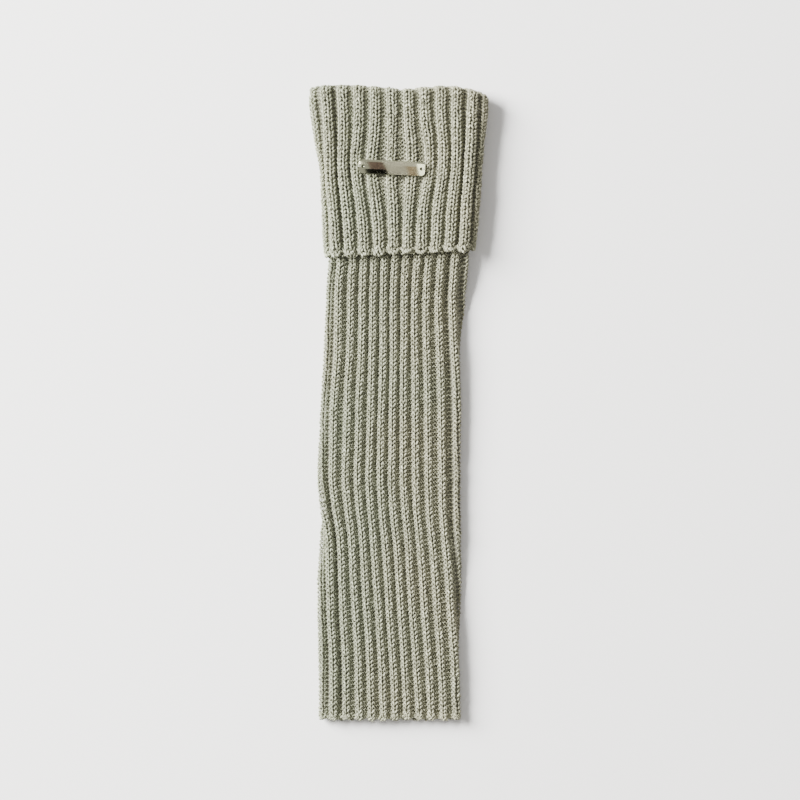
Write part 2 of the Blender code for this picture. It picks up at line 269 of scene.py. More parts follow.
# The knit's wall under the yarn
CORE_BELOW_YARN = 0.75  # how far it lies below the middle of the yarn in front, and below the solid's surface
CORE_UNDERNEATH = 1.7
CORE_DEEPEST = 1.75
INTO_CUFF = (112.0, 118.0)  # where the leg goes under the cuff and takes the solid's plain ribs
LEG_RINGS = 90  # rings of points
LINING_RINGS = 26
CUFF_RINGS = 36
FOLD_RINGS = 8
FRONT_POINTS = 8  # to a rib
BACK_POINTS = 3

# The plate's finish
PLATE_DOME_ACROSS = 0.06  # slope of its domed face at its long edges, and at its ends
PLATE_DOME_ALONG = 0.03
PLATE_RIPPLE = 0.00002  # metres
PLATE_EASE = 0.55  # radius of its eased edges
CORNER_STEPS = 8
HOLE_SIDES = 24

# The studio, in metres: cards over the camera, each placed by the part of the plate that shows it
CARD_HEIGHT = 3.4
CARD_PER_PLATE = (0.0109, 0.0854)  # metres of card to a millimetre of plate, along the plate and across it
CARD_START = (-0.0113, 0.297)
FLOOR_REACH = 6.0
ROOM_COLOUR = (1.0, 0.98, 0.95)
ROOM_LIGHT = 0.62
KEY_PLACE = (-2.88, 1.34, 1.69)
KEY_SIZE = (2.0, 2.0)
KEY_POWER = 1075.0
KEY_COLOUR = (1.0, 0.995, 0.98)
CAMERA_PLACE = (0.0009, 0.00175, 3.0)
PICTURE_WIDTH = 0.56  # what the picture takes in at the height of the knit's front
FRONT_HEIGHT = 0.012

# Painted shade and highlight: how much the yarn's colour is darkened at a height over the valleys' level,
# standing in for the deep ones being shaded by their neighbours and the crests catching the light
PAINTED_SHADE_BY_HEIGHT = (
    (-2.2, 0.52),
    (-1.6, 0.56),
    (-1.0, 0.61),
    (-0.4, 0.68),
    (0.4, 0.64),
    (1.0, 0.57),
    (1.5, 0.49),
    (1.9, 0.56),
    (2.3, 0.70),
    (2.7, 1.00),
)
CONTRAST_HEIGHTS = (-0.6, 0.9)  # between these the yarn's own greys go from blurred to clear
LEAST_CONTRAST = 0.35
# Heights between which the knit core's painted shade runs from darkest to lightest
CORE_SHADE_HEIGHTS = (-1.0, 1.0)


def through(rows, at):
    """Every field but the first of a table's rows, on a smooth curve, where the first has a given value."""
    keys = rows[:, 0]
    flat = np.clip(np.ravel(at), keys[0], keys[-1])
    i = np.clip(np.searchsorted(keys, flat) - 1, 0, len(keys) - 2)
    before = np.maximum(i - 1, 0)
    after = np.minimum(i + 2, len(keys) - 1)
    step = (keys[i + 1] - keys[i])[:, None]
    t = (flat - keys[i])[:, None] / step
    a, b, c, d = (rows[n, 1:] for n in (before, i, i + 1, after))
    leaving = (c - a) / (keys[i + 1] - keys[before])[:, None] * step
    arriving = (d - b) / (keys[after] - keys[i])[:, None] * step
    ease = t * t * (3 - 2 * t)
    found = b + (c - b) * ease + leaving * t * (1 - t) ** 2 - arriving * t * t * (1 - t)
    return [field.reshape(np.shape(at)) for field in found.T]


def smooth(value, low, high):
    """0 below low, 1 above high and an even rise between them."""
    t = np.clip((value - low) / (high - low), 0, 1)
    return t * t * (3 - 2 * t)


def stacked(x, y, z):
    return np.stack(np.broadcast_arrays(x, y, z), axis=-1)


def flat_tube(left, right, low, high, along):
    """x, z and the outward x, z at a length round a flat tube, rightwards from the middle of its top."""
    radius = (high - low) / 2
    run = (right - left) / 2 - radius
    half_round = 2 * run + pi * radius
    along = (along + half_round) % (2 * half_round) - half_round
    side = np.where(along >= 0, 1.0, -1.0)
    past = np.maximum(np.abs(along) - run, 0)
    turn = np.minimum(past / radius, pi)
    under = np.maximum(past - pi * radius, 0)
    out_x = side * np.sin(turn)
    out_z = np.cos(turn)
    x = (left + right) / 2 + side * (np.minimum(np.abs(along), run) - under) + radius * out_x
    return x, (low + high) / 2 + radius * out_z, out_x, out_z


def half_round_of(left, right, low, high):
    return (right - left) - (high - low) + pi * (high - low) / 2


def length_round(place, across, centre_x, half_round):
    """Length round a section to a place in ribs: as across() has it in front, evenly spread on the back."""
    first = across(float(FIRST_RIB))
    last = across(float(LAST_RIB))
    back = 2 * half_round - (last - first)
    share = np.maximum(place - LAST_RIB, 0) / (FIRST_RIB + RIBS_ROUND - LAST_RIB)
    return across(np.minimum(place, LAST_RIB)) - centre_x + back * share


def plate_press(x, y):
    beyond_x = np.maximum(np.abs(x - PLATE_X) - PLATE_LENGTH / 2 - PRESS_MARGIN, 0) / PRESS_FADE
    beyond_y = np.maximum(np.abs(y - PLATE_Y) - PLATE_WIDTH / 2 - PRESS_MARGIN, 0) / PRESS_FADE
    return PLATE_PRESS * np.exp(-(beyond_x**2) - beyond_y**2)


def leg_y(x, y):
    fade = np.clip((y - FOLD_Y + TOP_FADE) / TOP_FADE, 0, 1)
    return y - through(TOP_ROWS, x)[0] * fade * fade


def cuff_y(x, y):
    below_fold = np.clip((FOLD_Y - y) / (FOLD_Y - CUFF_EDGE_Y), 0, 1.02)
    return leg_y(x, y) + EDGE_SLANT * x * below_fold


def showing(out_z):
    """1 on the front and the sides, falling to 0 where the knit turns under and lies on the floor."""
    return np.clip((out_z + 0.75) / 0.6, 0, 1)


def leg_pitch(y, place):
    """Width of a rib and its valley at a place on the leg."""
    _, _, _, _, pitch, skew, spread = through(LEG_ROWS, y)
    k = np.clip(place, 2.0, LAST_RIB) - MIDDLE_RIB
    return pitch + 2 * skew * k + 3 * spread * k * k


def cuff_pitch(y, place):
    _, _, middle, pitch = through(CUFF_ROWS, y)
    rib = np.clip(place, FIRST_RIB, LAST_RIB)
    d = (middle + pitch * (rib - CUFF_RIB_SHIFT - MIDDLE_RIB) - BOW_X) / BOW_ACROSS
    bow = np.exp(-(d**2) / 2 - ((y - BOW_Y) / BOW_ALONG) ** 2 / 2)
    return pitch * (1 + BOW_REACH / BOW_ACROSS * (1 - d**2) * bow)


def leg_section(y, place):
    """The leg's outside: base point at the valleys' level, outward direction and share of the way round."""
    left, right, lift, middle, pitch, skew, spread = through(LEG_ROWS, y)
    side = RIB_HEIGHT * SIDE_RIB_SHARE
    left, right = left + side, right - side
    half_round = half_round_of(left, right, 0.0, BODY_THICK)

    def across(rib):
        k = rib - MIDDLE_RIB + LEG_RIB_STRAY
        return middle + pitch * k + skew * k * k + spread * k**3

    along = length_round(place, across, (left + right) / 2, half_round)
    x, z, out_x, out_z = flat_tube(left, right, lift, lift + BODY_THICK, along)
    return stacked(x, leg_y(x, y), z), stacked(out_x, 0.0, out_z), along / half_round


def leg_lining(y, place):
    """The leg's plain inner face."""
    left, right, lift = through(LEG_ROWS, y)[:3]
    _, _, round_share = leg_section(y, place)
    low = lift + BACK_WALL
    left, right = left + HOLLOW_INSET, right - HOLLOW_INSET
    along = round_share * half_round_of(left, right, 0.0, HOLLOW)
    x, z, _, _ = flat_tube(left, right, low, low + HOLLOW, along)
    return stacked(x, leg_y(x, y), z)


def cuff_section(y, place):
    """The same as leg_section for the cuff's outside, and how far the plate presses it down."""
    left, right, middle, pitch = through(CUFF_ROWS, y)
    side = RIB_HEIGHT * SIDE_RIB_SHARE
    left, right = left + side, right - side
    half_round = half_round_of(left, right, 0.0, CUFF_TOP)

    def across(rib):
        stray = CUFF_RIB_STRAY * smooth(rib, 3.0, 6.5)
        x = middle + pitch * (rib + stray - CUFF_RIB_SHIFT - MIDDLE_RIB)
        d = (x - BOW_X) / BOW_ACROSS
        return x + BOW_REACH * d * np.exp(-(d**2) / 2 - ((y - BOW_Y) / BOW_ALONG) ** 2 / 2)

    along = length_round(place, across, (left + right) / 2, half_round)
    x, z, out_x, out_z = flat_tube(left, right, 0.0, CUFF_TOP, along)
    pressed = plate_press(x, y) * np.maximum(out_z, 0)
    return stacked(x, cuff_y(x, y), z), stacked(out_x, 0.0, out_z), along / half_round, pressed


def cuff_lining(y, place):
    """The cuff's plain inner face, just clear of the leg."""
    left, right = through(LEG_ROWS, y)[:2]
    left, right = left - SIDE_GAP, right + SIDE_GAP
    _, _, on_leg = leg_section(y, place)
    _, _, on_cuff, _ = cuff_section(y, place)
    down = (FOLD_Y - y) / (FOLD_Y - CUFF_EDGE_Y)
    along = (down * on_cuff + (1 - down) * on_leg) * half_round_of(left, right, BACK_WALL, CUFF_INSIDE_TOP)
    x, z, _, _ = flat_tube(left, right, BACK_WALL, CUFF_INSIDE_TOP, along)
    return stacked(x, cuff_y(x, y), z)


CUFF_RUN = FOLD_Y - CUFF_EDGE_Y
FOLD_ARC = pi * FOLD_RADIUS


def cuff_and_fold(up, place):
    """Base point, outward direction and pressing at a length up the cuff, over the fold and down inside."""
    base, out, _, pressed = cuff_section(CUFF_EDGE_Y + np.minimum(up, CUFF_RUN), place)
    turn = np.clip((up - CUFF_RUN) / FOLD_ARC, 0, 1)[..., None] * pi
    inner = leg_lining(np.full(np.shape(up), FOLD_Y), place)
    over = base + (inner - base) * (1 - np.cos(turn)) / 2
    over[..., 1] += FOLD_RADIUS * np.sin(turn[..., 0]) - np.maximum(up - CUFF_RUN - FOLD_ARC, 0)
    facing = out * np.cos(turn) + np.array((0.0, 1.0, 0.0)) * np.sin(turn)
    return over, facing, pressed


def kept_width(across, narrowed, low, high):
    """A place across a rib whose own width is narrowed while its valley takes up what is left."""
    end = np.where(across > 0, high, -low)
    size = np.abs(across)
    valley = RIB_EDGE * narrowed + (size - RIB_EDGE) / (end - RIB_EDGE) * (end - RIB_EDGE * narrowed)
    return np.sign(across) * np.where(size < RIB_EDGE, size * narrowed, valley)


def gone_inside(up):
    """0 on the cuff and the first part of the fold, 1 where the knit has turned down inside the leg."""
    return smooth(up, CUFF_RUN + FOLD_ARC * 0.45, CUFF_RUN + FOLD_ARC)


def narrowing(face, along, place):
    """A rib's own width there, as a share of what its table gives."""
    return np.clip(face.nominal / face.pitch(along, place), NARROWEST, WIDEST)


def on_rib(face, along, place):
    """Where a place in the yarn's own even count of ribs comes to lie, and the height of its middle there."""
    narrowed = narrowing(face, along, place)
    rib = np.floor(place - face.shift)
    across, height = through(face.profile, place - face.shift - rib - 0.5)
    edge = face.half_count
    from_middle = np.abs(place - face.shift - MIDDLE_RIB)
    outer = smooth(from_middle, edge - OUTER_VALLEY_FROM, edge - OUTER_VALLEY_FULL)
    rise = (1 - narrowed) * SPREAD_VALLEY_RISE * (1 - outer) - OUTER_VALLEY_DEPTH * outer
    in_valley = smooth(-height, -0.5, 0.8)
    height = height + rise * in_valley
    across = kept_width(across, narrowed, face.profile[0, 1], face.profile[-1, 1])
    return rib + 0.5 + across + face.shift, height


def wander(count, samples, every, reach):
    """Smooth random values along several strands, one new value each so many samples."""
    knots = np.arange(0, samples + every, every)
    values = rng.normal(0, reach, (count, len(knots)))
    at = np.arange(samples)
    return np.array([np.interp(at, knots, row) for row in values])


class Tubes:
    """Strands of yarn gathered up and made into one mesh."""

    def __init__(self):
        self.points = []
        self.faces = []
        self.uvs = []
        self.depths = []
        self.count = 0

    def add(self, centre, out, radius, depth, sides=YARN_SIDES, keep=None):
        """Tubes along strands of centre points, (strands, points, 3), with radius and depth at each point."""
        strands, length, _ = centre.shape
        radius = np.broadcast_to(radius, (strands, length))
        depth = np.broadcast_to(depth, (strands, length))
        along = np.gradient(centre, axis=1)
        along /= np.linalg.norm(along, axis=2, keepdims=True) + 1e-9
        side = np.cross(along, out)
        side /= np.linalg.norm(side, axis=2, keepdims=True) + 1e-9
        top = np.cross(side, along)
        turn = np.arange(sides) * 2 * pi / sides
        ring = side[:, :, None] * np.cos(turn)[None, None, :, None]
        ring = ring + top[:, :, None] * np.sin(turn)[None, None, :, None]
        points = centre[:, :, None] + ring * radius[:, :, None, None]
        points[..., 2] = np.maximum(points[..., 2], OFF_FLOOR)
        gone = np.zeros((strands, length))
        gone[:, 1:] = np.cumsum(np.linalg.norm(np.diff(centre, axis=1), axis=2), axis=1)
        gone += rng.uniform(0, 50, (strands, 1))
        index = self.count + np.arange(strands * length * sides).reshape(strands, length, sides)
        here, there = index[:, :-1], index[:, 1:]
        faces = np.stack((here, there, np.roll(there, -1, 2), np.roll(here, -1, 2)), axis=-1)
        v = np.arange(sides) / sides
        u_here = np.broadcast_to(gone[:, :-1, None], here.shape)
        u_there = np.broadcast_to(gone[:, 1:, None], here.shape)
        v_here = np.broadcast_to(v, here.shape)
        v_next = v_here + 1 / sides
        corners = ((u_here, v_here), (u_there, v_here), (u_there, v_next), (u_here, v_next))
        uvs = np.stack([np.stack(corner, axis=-1) for corner in corners], axis=-2)
        if keep is not None:
            faces, uvs = faces[keep], uvs[keep]
        self.points.append(points.reshape(-1, 3))
        self.faces.append(faces.reshape(-1, 4))
        self.uvs.append(uvs.reshape(-1, 2))
        self.depths.append((depth[..., None] + radius[..., None] * np.sin(turn)).reshape(-1))
        self.count += strands * length * sides

    def made(self, name, material):
        points = np.concatenate(self.points)
        faces = np.concatenate(self.faces)
        used, faces = np.unique(faces, return_inverse=True)
        obj = mesh_piece(name, points[used], faces.reshape(-1, 4), material)
        uv = obj.data.uv_layers.new(name="along_and_round")
        uv.uv.foreach_set("vector", np.concatenate(self.uvs).astype(np.float32).ravel())
        keep_depths(obj, np.concatenate(self.depths)[used])
        return obj


def keep_depths(obj, depths):
    """Gives each point its height over the valleys' level, which sets its painted shade."""
    depth = obj.data.attributes.new("depth", "FLOAT", "POINT")
    depth.data.foreach_set("value", depths.astype(np.float32).ravel())


def mesh_piece(name, points, faces, material):
    """A smooth mesh object that rides on the part, from points in millimetres and faces of one size."""
    mesh = bpy.data.meshes.new(name)
    size = faces.shape[1]
    mesh.vertices.add(len(points))
    mesh.vertices.foreach_set("co", (points * MM).astype(np.float32).ravel())
    mesh.loops.add(faces.size)
    mesh.loops.foreach_set("vertex_index", faces.astype(np.int32).ravel())
    mesh.polygons.add(len(faces))
    mesh.polygons.foreach_set("loop_start", np.arange(0, faces.size, size, dtype=np.int32))
    mesh.update(calc_edges=True)
    mesh.validate()
    mesh.shade_smooth()
    mesh.materials.append(material)
    obj = bpy.data.objects.new(name, mesh)
    bpy.context.scene.collection.objects.link(obj)
    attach(obj, "root")
    return obj


def stitches(ribs, lean, first, last):
    """Along one course, for each sample: place in ribs, turn within its loop, 1 for knit or -1 for purl."""
    places, turns = [], []
    for rib in np.arange(first, last):
        for wale, steps in enumerate((PURL_STEPS, KNIT_STEPS, KNIT_STEPS, PURL_STEPS)):
            turn = np.arange(steps) * 2 * pi / steps
            turns.append(turn)
            within = turn / (2 * pi) + lean * np.sin(2 * turn)
            places.append(rib + wale / WALES_IN_RIB + within / WALES_IN_RIB)
    places.append([last])
    turns.append([0.0])
    place = np.concatenate(places)
    turn = np.concatenate(turns)
    from_crest = np.abs((place - ribs) % 1 - 0.5)
    return place, turn, np.tanh((KNIT_SHARE - from_crest) / KNIT_TO_PURL)


# One side of the knit that shows: where it lies, how its ribs are shaped, and how its yarn is looped
Face = namedtuple(
    "Face", "section pitch profile nominal shift half_count settle edge course reach lean yarn heads"
)


def courses(tubes, face, stations, last=LAST_RIB, under=-0.8):
    """Adds a strand of yarn for each course: knit and purl loops over a face of the knit."""
    place, turn, front = stitches(face.shift, face.lean, FIRST_RIB + face.shift, last + face.shift)
    count, samples = len(stations), len(place)
    from_edge = stations[:, None] - face.edge
    slack = 1 + EDGE_SLACK * (1 - smooth(from_edge, EDGE_SLACK_FROM, EDGE_SLACK_TO))
    place = place + wander(count, samples, *PLACE_WANDER) * slack
    along = stations[:, None] - face.heads * face.reach * face.course * np.cos(turn)
    along = along + wander(count, samples, *ALONG_WANDER) * slack
    across, height = on_rib(face, along, place)
    across = across + rib_sway(across, along)
    base, out, pressed = face.section(along, across)
    shown = showing(out[..., 2])
    height = face.settle(along, height) - pressed * PRESSED_FURTHER
    loop = -LOOP_DEPTH * np.cos(2 * turn) * front + wander(count, samples, *HEIGHT_WANDER)
    offset = shown * (height + loop) - (1 - shown) * (face.yarn + UNDER_CLEARANCE)
    centre = base + out * offset[..., None]
    thick = 0.70 + 0.30 * (1 - np.cos(2 * turn)) / 2
    thick = thick * np.where(front > 0, 1.0, PURL_THICKNESS)
    radius = face.yarn * thick * (1 + wander(count, samples, *THICKNESS_WANDER))
    centre[..., 2] = np.maximum(centre[..., 2], radius)
    seen = (out[:, :-1, 2] > under) | (out[:, 1:, 2] > under)
    tubes.add(centre, out, radius, height + loop, keep=seen)


def edge_strand(tubes, face, station, wind, yarn, front, back, drawn_in, start):
    """A strand that winds once a stitch round the knit's whole edge, drawn in between the ribs."""
    samples = RIBS_ROUND * WALES_IN_RIB * EDGE_STEPS + 1
    place = np.linspace(FIRST_RIB, FIRST_RIB + RIBS_ROUND, samples)[None]
    turn = place * WALES_IN_RIB * 2 * pi + start
    valley = (1 + np.cos(2 * pi * (place - face.shift))) / 2
    valley = valley**2 * (1 + wander(1, samples, *EDGE_VALLEY_WANDER))
    wound = station - face.heads * wind * np.sin(turn)
    along = wound + drawn_in * valley + wander(1, samples, *EDGE_LOOP_WANDER)
    along = along + wander(1, samples, *EDGE_LINE_WANDER)
    base, out, _ = face.section(along, place)
    shown = smooth(out[..., 2], -0.9, 0.3)
    offset = front * shown + back * (1 - shown) + wind * np.cos(turn) - EDGE_VALLEY_DIP * valley * shown
    centre = base + out * offset[..., None]
    radius = yarn * (1 + wander(1, samples, *EDGE_THICKNESS_WANDER))
    centre[..., 2] = np.maximum(centre[..., 2], radius)
    # Painted shade: the strand's height, which sets its shade, drops between the ribs
    height = EDGE_HEIGHT + wind * np.cos(turn) - EDGE_VALLEY_SHADE * valley
    tubes.add(centre, out, radius, height, sides=6)


SWAY = rng.uniform(0, 2 * pi, (SWAYING_RIBS, len(RIB_SWAYS)))


def rib_sway(across, along):
    """Each rib strays a little to either side along its length."""
    phase = SWAY[np.floor(across).astype(int) % SWAYING_RIBS]
    return sum(np.sin(along / wave + phase[..., n]) * reach for n, (wave, reach) in enumerate(RIB_SWAYS))


def add_material(name):
    material = bpy.data.materials.new(name)
    material.use_nodes = True
    return material, material.node_tree.nodes, material.node_tree.links


def share_between(nodes, links, value, low, high):
    """A value as a share of the way from low to high."""
    share = nodes.new("ShaderNodeMapRange")
    share.inputs["From Min"].default_value = low
    share.inputs["From Max"].default_value = high
    links.new(value, share.inputs["Value"])
    return share


def colours_by(nodes, links, value, stops):
    """Colours that run through stops, each a position and a colour, as a value goes from 0 to 1."""
    colours = nodes.new("ShaderNodeValToRGB")
    elements = colours.color_ramp.elements
    last = len(stops) - 1
    for n, (position, colour) in enumerate(stops):
        stop = elements.new(position) if 0 < n < last else elements[0 if n == 0 else -1]
        stop.position = position
        stop.color = (*colour, 1)
    links.new(value, colours.inputs["Fac"])
    return colours.outputs["Color"]


def darkened_by(nodes, links, colour, shade):
    """One colour multiplied by another."""
    both = nodes.new("ShaderNodeMix")
    both.data_type = "RGBA"
    both.blend_type = "MULTIPLY"
    both.inputs["Factor"].default_value = 1.0
    links.new(colour, both.inputs["A"])
    links.new(shade, both.inputs["B"])
    return both.outputs["Result"]


def painted_shade_stops():
    """Stops of the yarn's painted shade by height, a little warmer where it is darker."""
    low, high = PAINTED_SHADE_BY_HEIGHT[0][0], PAINTED_SHADE_BY_HEIGHT[-1][0]
    stops = []
    for height, shade in PAINTED_SHADE_BY_HEIGHT:
        colour = (shade, shade * (0.98 + 0.02 * shade), shade * (0.87 + 0.13 * shade))
        stops.append(((height - low) / (high - low), colour))
    return stops


def marl_yarn():
    """Heathered yarn: fibres of several greys twisted together, with painted shade darker down between the
    ribs.
    """
    material, nodes, links = add_material("marl_yarn")
    shader = nodes["Principled BSDF"]
    shader.inputs["Roughness"].default_value = 0.92
    shader.inputs["Sheen Weight"].default_value = 0.10
    shader.inputs["Sheen Roughness"].default_value = 0.5
    shader.inputs["Specular IOR Level"].default_value = 0.15
    uv = nodes.new("ShaderNodeUVMap")
    uv.uv_map = "along_and_round"
    stretch = nodes.new("ShaderNodeMapping")
    stretch.inputs["Scale"].default_value = (0.35, 2.0, 1.0)
    links.new(uv.outputs["UV"], stretch.inputs["Vector"])
    heather = nodes.new("ShaderNodeTexNoise")
    heather.inputs["Scale"].default_value = 2.0
    heather.inputs["Detail"].default_value = 4.0
    heather.inputs["Roughness"].default_value = 0.65
    links.new(stretch.outputs["Vector"], heather.inputs["Vector"])
    greys = ((0.41, (0.17, 0.172, 0.120)), (0.61, (0.66, 0.662, 0.518)))
    tones = colours_by(nodes, links, heather.outputs["Fac"], greys)
    depth = nodes.new("ShaderNodeAttribute")
    depth.attribute_name = "depth"
    contrast = share_between(nodes, links, depth.outputs["Fac"], *CONTRAST_HEIGHTS)
    contrast.inputs["To Min"].default_value = LEAST_CONTRAST
    softened = nodes.new("ShaderNodeMix")
    softened.data_type = "RGBA"
    softened.inputs["A"].default_value = (0.42, 0.422, 0.322, 1)
    links.new(contrast.outputs["Result"], softened.inputs["Factor"])
    links.new(tones, softened.inputs["B"])
    # Painted shade and highlight: the colour is darkened by each point's height over the valleys' level
    level = share_between(nodes, links, depth.outputs["Fac"], PAINTED_SHADE_BY_HEIGHT[0][0], PAINTED_SHADE_BY_HEIGHT[-1][0])
    sunk = colours_by(nodes, links, level.outputs["Result"], painted_shade_stops())
    shaded = darkened_by(nodes, links, softened.outputs["Result"], sunk)
    place = nodes.new("ShaderNodeTexCoord")
    sides = nodes.new("ShaderNodeSeparateXYZ")
    links.new(place.outputs["Object"], sides.inputs["Vector"])
    patches = nodes.new("ShaderNodeTexNoise")
    patches.inputs["Scale"].default_value = 16.0
    patches.inputs["Detail"].default_value = 1.0
    links.new(place.outputs["Object"], patches.inputs["Vector"])
    # Painted tint of light: greener to the left and warmer to the right, in broad patches
    to_the_right = nodes.new("ShaderNodeMath")
    to_the_right.operation = "MULTIPLY_ADD"
    to_the_right.inputs[1].default_value = 4.0
    links.new(sides.outputs["X"], to_the_right.inputs[0])
    links.new(patches.outputs["Fac"], to_the_right.inputs[2])
    painted_tint_greener_to_warmer = ((0.2, (0.88, 0.945, 0.90)), (0.8, (1.0, 0.97, 0.92)))
    cast = colours_by(nodes, links, to_the_right.outputs["Value"], painted_tint_greener_to_warmer)
    links.new(darkened_by(nodes, links, shaded, cast), shader.inputs["Base Color"])
    return material


def core_material():
    """The knit's inside, seen between the strands, underneath and in the opening, coloured as painted shade,
    darkest in the valleys.
    """
    material, nodes, links = add_material("knit_core_painted_shade")
    shader = nodes["Principled BSDF"]
    depth = nodes.new("ShaderNodeAttribute")
    depth.attribute_name = "depth"
    level = share_between(nodes, links, depth.outputs["Fac"], *CORE_SHADE_HEIGHTS)
    # Painted shade: the inside is as dark as the shadow between the strands, and darker still in the valleys
    painted_shades = ((0.0, (0.085, 0.083, 0.062)), (1.0, (0.23, 0.226, 0.172)))
    links.new(colours_by(nodes, links, level.outputs["Result"], painted_shades), shader.inputs["Base Color"])
    shader.inputs["Roughness"].default_value = 0.95
    shader.inputs["Specular IOR Level"].default_value = 0.1
    return material


def polished_steel():
    """Mirror-bright metal, a little domed so that it gathers more of the room than a flat sheet would."""
    material, nodes, links = add_material("polished_steel")
    shader = nodes["Principled BSDF"]
    shader.inputs["Base Color"].default_value = (0.56, 0.572, 0.40, 1)
    shader.inputs["Metallic"].default_value = 1.0
    shader.inputs["Roughness"].default_value = 0.038
    place = nodes.new("ShaderNodeTexCoord")
    squared = nodes.new("ShaderNodeVectorMath")
    squared.operation = "MULTIPLY"
    links.new(place.outputs["Object"], squared.inputs[0])
    links.new(place.outputs["Object"], squared.inputs[1])
    dome = nodes.new("ShaderNodeVectorMath")
    dome.operation = "DOT_PRODUCT"
    fall_along = -PLATE_DOME_ALONG / PLATE_LENGTH / MM
    fall_across = -PLATE_DOME_ACROSS / PLATE_WIDTH / MM
    dome.inputs[1].default_value = (fall_along, fall_across, 0.0)
    links.new(squared.outputs["Vector"], dome.inputs[0])
    ripple = nodes.new("ShaderNodeTexNoise")
    ripple.inputs["Scale"].default_value = 90.0
    ripple.inputs["Detail"].default_value = 0.0
    links.new(place.outputs["Object"], ripple.inputs["Vector"])
    uneven = nodes.new("ShaderNodeMath")
    uneven.operation = "MULTIPLY_ADD"
    uneven.inputs[1].default_value = PLATE_RIPPLE
    links.new(ripple.outputs["Fac"], uneven.inputs[0])
    links.new(dome.outputs["Value"], uneven.inputs[2])
    bump = nodes.new("ShaderNodeBump")
    bump.inputs["Strength"].default_value = 1.0
    bump.inputs["Distance"].default_value = 1.0
    links.new(uneven.outputs["Value"], bump.inputs["Height"])
    links.new(bump.outputs["Normal"], shader.inputs["Normal"])
    return material


def floor_material():
    material, nodes, _ = add_material("pale_floor")
    shader = nodes["Principled BSDF"]
    shader.inputs["Base Color"].default_value = (0.86, 0.853, 0.845, 1)
    shader.inputs["Roughness"].default_value = 0.9
    shader.inputs["Specular IOR Level"].default_value = 0.1
    return material


def knit_base(material):
    """The knit's closed wall under the yarn: up the leg, down and up the cuff, over the fold, down inside."""
    in_front = np.arange(FIRST_RIB, LAST_RIB, 1 / FRONT_POINTS)
    behind = np.arange(LAST_RIB, FIRST_RIB + RIBS_ROUND, 1 / BACK_POINTS)
    places = np.concatenate((in_front, behind))

    def ring(y):
        return np.full(len(places), y)

    def height_on(face, along):
        within = (places - face.shift) % 1 - 0.5
        low, high = face.profile[0, 1], face.profile[-1, 1]
        within = np.where(within < low, within + 1, within)
        within = np.where(within > high, within - 1, within)
        narrowed = narrowing(face, along, places)
        end = np.where(within > 0, high, -low)
        size = np.abs(within)
        spread = (size - RIB_EDGE * narrowed) / (end - RIB_EDGE * narrowed)
        size = np.where(size < RIB_EDGE * narrowed, size / narrowed, RIB_EDGE + (end - RIB_EDGE) * spread)
        height = np.interp(np.sign(within) * size, face.profile[:, 1], face.profile[:, 2])
        return face.settle(along, height)

    def offset_of(out, height):
        covered = smooth(out[..., 2], -1.0, -0.75)
        shown = showing(out[..., 2])
        sunk = shown * (height - CORE_BELOW_YARN) - (1 - shown) * CORE_UNDERNEATH
        return covered * np.maximum(sunk, -CORE_DEEPEST)

    solid_height = RIB_HEIGHT * np.minimum((0.5 - np.abs(places % 1 - 0.5)) / RIB_SHOULDER, 1.0)
    rings = []
    depths = []
    leg_stations = np.linspace(HEM_Y + EDGE_ROUND, FOLD_Y, LEG_RINGS)
    for y in leg_stations:
        base, out, _ = leg_section(ring(y), places)
        height = height_on(LEG_FACE, ring(y))
        depths.append(height)
        offset = offset_of(out, height)
        hidden = smooth(y, *INTO_CUFF)
        offset = offset + (solid_height * showing(out[..., 2]) - offset) * hidden
        rings.append(base + out * offset[..., None])
    for y in np.linspace(FOLD_Y, CUFF_EDGE_Y + EDGE_ROUND, LINING_RINGS):
        rings.append(cuff_lining(ring(y), places))
        depths.append(ring(-1.0))
    up_cuff = np.linspace(EDGE_ROUND, CUFF_RUN, CUFF_RINGS)
    over_fold = CUFF_RUN + FOLD_ARC * np.arange(1, FOLD_RINGS) / FOLD_RINGS
    for up in np.concatenate((up_cuff, over_fold)):
        base, out, pressed = cuff_and_fold(ring(up), places)
        height = height_on(CUFF_FACE, ring(up))
        depths.append(height)
        offset = offset_of(out, height - pressed * PRESSED_FURTHER) * (1 - gone_inside(up))
        rings.append(base + out * offset[..., None])
    for y in leg_stations[::-1]:
        rings.append(leg_lining(ring(y), places))
        depths.append(ring(-1.0))
    points = np.stack(rings)
    points[..., 2] = np.maximum(points[..., 2], 0.0)
    index = np.arange(points.shape[0] * points.shape[1]).reshape(points.shape[:2])
    ahead = np.roll(index, -1, 0)
    faces = np.stack((index, np.roll(index, -1, 1), np.roll(ahead, -1, 1), ahead), axis=-1)
    base = mesh_piece("knit_base", points.reshape(-1, 3), faces.reshape(-1, 4), material)
    keep_depths(base, np.stack(depths))
    return base


def flattened(along, height, edge, kept, full, level):
    """The ribs flatten towards an edge of the knit."""
    share = smooth(along, edge - 1.5, edge + full) * (1 - kept) + kept
    return height * share - level * (1 - share)


def hem_settles(along, height):
    return flattened(along, height, HEM_Y, *HEM_FLATTENS)


def cuff_settles(along, height):
    """The ribs flatten at the cuff's edge, and sink as they go over the fold and down inside."""
    height = flattened(along, height, 0.0, *CUFF_EDGE_FLATTENS)
    over = np.sin(pi * np.clip((along - CUFF_RUN) / FOLD_ARC, 0, 1))
    height = height * (1 - FOLD_FLATTENS * over) - FOLD_SINKS * over
    inside = gone_inside(along)
    return height * (1 - inside) - INSIDE_SINKS * inside


def leg_up(along, place):
    base, out, _ = leg_section(along, place)
    return base, out, 0.0


def up_the_cuff(along, place):
    return cuff_pitch(CUFF_EDGE_Y + np.minimum(along, CUFF_RUN), place)


